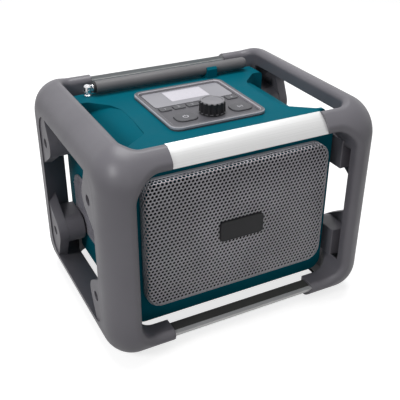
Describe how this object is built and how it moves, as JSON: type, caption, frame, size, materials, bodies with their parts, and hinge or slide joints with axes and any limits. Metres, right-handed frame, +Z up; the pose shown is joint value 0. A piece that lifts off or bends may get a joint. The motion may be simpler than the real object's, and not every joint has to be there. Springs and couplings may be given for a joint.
{
  "type": "jobsite radio",
  "caption": "Portable jobsite radio in a roll cage of two side frames and cross bars, with a speaker grille, top control panel and folding aerial.",
  "frame": {"origin": "middle of the footprint on the floor, under the centre of the cage", "axes": "+Z up; the speaker grille faces -Y; +X to the right of someone facing the grille"},
  "size_m": [0.36, 0.2914, 0.2796],
  "materials": {
    "cage_plastic": "satin",
    "bar_plastic": "satin",
    "satin_aluminium": "satin",
    "steel": "plain",
    "chrome": "polished",
    "foot_rubber": "matte",
    "teal_plastic": "satin",
    "grille_metal": "satin",
    "cloth": "matte",
    "badge_metal": "satin",
    "black_metal": "satin",
    "surround_rubber": "matte",
    "cone_paper": "matte",
    "magnet": "matte",
    "side_plate": "satin",
    "panel_plastic": "satin",
    "window_plastic": "gloss",
    "lcd_glass": "gloss",
    "button_plastic": "satin",
    "knob_plastic": "satin",
    "board": "plain",
    "black_plastic": "plain",
    "aerial_rubber": "matte"
  },
  "bodies": {
    "radio": {"side_frame_left": "cage_plastic", "side_frame_right": "cage_plastic", "rubber_feet": "foot_rubber", "frame_screws": "steel", "front_bezel": "teal_plastic", "bezel_screws": "steel", "main_housing": "teal_plastic", "rear_housing": "teal_plastic", "top_housing": "teal_plastic", "panel_rim": "panel_plastic", "speaker_grille": "grille_metal", "grille_cloth": "cloth", "badge_plate": "badge_metal", "speaker_baskets": "black_metal", "speaker_surrounds": "surround_rubber", "speaker_cones": "cone_paper", "dust_caps": "cone_paper", "speaker_magnets": "magnet", "side_grille_left": "side_plate", "side_grille_right": "side_plate", "side_cloth_left": "cloth", "side_cloth_right": "cloth", "control_panel": "panel_plastic", "display_window": "window_plastic", "lcd_glass": "lcd_glass", "main_board": "board", "tact_switches": "black_plastic", "amplifier_board": "board", "board_spacers": "black_plastic", "encoder_case": "steel", "aerial_turret": "chrome", "aerial_pin": "steel", "door_pin": "steel", "battery_contacts": "steel", "port_carrier": "black_plastic", "power_inlet_pin": "steel", "bar_core_top_front": "bar_plastic", "bar_cover_top_front": "satin_aluminium", "bar_core_top_rear": "bar_plastic", "bar_cover_top_rear": "satin_aluminium", "bar_core_bottom_front": "bar_plastic", "bar_cover_bottom_front": "satin_aluminium", "bar_core_bottom_rear": "bar_plastic", "bar_cover_bottom_rear": "satin_aluminium"},
    "aerial": {"aerial_knuckle": "chrome", "aerial_collar": "black_plastic", "aerial_rod": "aerial_rubber"},
    "door": {"battery_door": "teal_plastic"},
    "flap": {"port_flap": "foot_rubber"},
    "rotor": {"encoder_rotor": "black_plastic"},
    "knob": {"encoder_spindle": "steel", "tuning_knob": "knob_plastic"},
    "key_left": {"key_left": "button_plastic"},
    "key_right": {"key_right": "button_plastic"},
    "button_1": {"button_1": "button_plastic"},
    "button_2": {"button_2": "button_plastic"},
    "button_3": {"button_3": "button_plastic"},
    "button_4": {"button_4": "button_plastic"},
    "button_5": {"button_5": "button_plastic"},
    "button_6": {"button_6": "button_plastic"}
  },
  "joints": [
    {"name": "button_1_press", "type": "slide", "parent": "radio", "child": "button_1", "axis": [0, 0, -1], "range_m": [0, 0.0012], "stiffness_N_per_m": 1500},
    {"name": "button_2_press", "type": "slide", "parent": "radio", "child": "button_2", "axis": [0, 0, -1], "range_m": [0, 0.0012], "stiffness_N_per_m": 1500},
    {"name": "button_3_press", "type": "slide", "parent": "radio", "child": "button_3", "axis": [0, 0, -1], "range_m": [0, 0.0012], "stiffness_N_per_m": 1500},
    {"name": "button_4_press", "type": "slide", "parent": "radio", "child": "button_4", "axis": [0, 0, -1], "range_m": [0, 0.0012], "stiffness_N_per_m": 1500},
    {"name": "button_5_press", "type": "slide", "parent": "radio", "child": "button_5", "axis": [0, 0, -1], "range_m": [0, 0.0012], "stiffness_N_per_m": 1500},
    {"name": "button_6_press", "type": "slide", "parent": "radio", "child": "button_6", "axis": [0, 0, -1], "range_m": [0, 0.0012], "stiffness_N_per_m": 1500},
    {"name": "key_left_press", "type": "slide", "parent": "radio", "child": "key_left", "axis": [0, 0, -1], "range_m": [0, 0.0012], "stiffness_N_per_m": 1800},
    {"name": "key_right_press", "type": "slide", "parent": "radio", "child": "key_right", "axis": [0, 0, -1], "range_m": [0, 0.0012], "stiffness_N_per_m": 1800},
    {"name": "knob_turn", "type": "hinge", "parent": "radio", "child": "rotor", "pos_m": [0.003, -0.0315, 0.242], "axis": [0, 0, 1], "continuous": true},
    {"name": "knob_press", "type": "slide", "parent": "rotor", "child": "knob", "axis": [0, 0, -1], "range_m": [0, 0.0006], "stiffness_N_per_m": 4000},
    {"name": "aerial_fold", "type": "hinge", "parent": "radio", "child": "aerial", "pos_m": [-0.114, 0.091, 0.2675], "axis": [0, -1, 0], "range_deg": [0, 90]},
    {"name": "door_swing", "type": "hinge", "parent": "radio", "child": "door", "pos_m": [0, 0.1318, 0.0565], "axis": [-1, 0, 0], "range_deg": [0, 95]},
    {"name": "flap_swing", "type": "hinge", "parent": "radio", "child": "flap", "pos_m": [0.106, 0.1335, 0.0982], "axis": [-1, 0, 0], "range_deg": [0, 100]}
  ]
}
